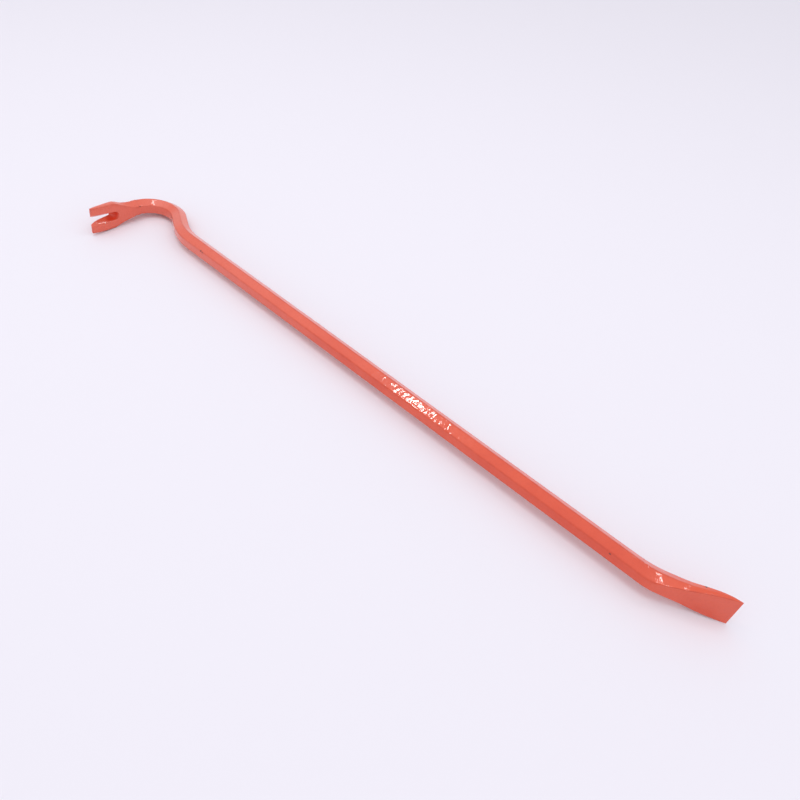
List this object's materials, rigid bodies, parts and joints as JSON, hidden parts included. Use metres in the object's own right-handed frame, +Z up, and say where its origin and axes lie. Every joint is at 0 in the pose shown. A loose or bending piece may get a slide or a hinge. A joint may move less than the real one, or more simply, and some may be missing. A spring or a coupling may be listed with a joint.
{
  "type": "pry bar",
  "caption": "Gooseneck wrecking bar in hexagonal steel, painted orange-red, with a slotted nail claw on the hooked end and an angled chisel blade on the other.",
  "frame": {"origin": "middle of the base, on the flat surface that the bar lies on in its stable pose", "axes": "+Z up, +X along the bar towards the chisel end, +Y towards the back of the hook"},
  "size_m": [0.9, 0.1178, 0.0394],
  "materials": {
    "orange_enamel": "gloss enamel on forged steel, slight orange peel, small chips at the forging shoulder"
  },
  "bodies": {
    "root": {"claw_head": "orange_enamel", "gooseneck": "orange_enamel", "shank": "orange_enamel", "chisel": "orange_enamel"}
  },
  "joints": []
}
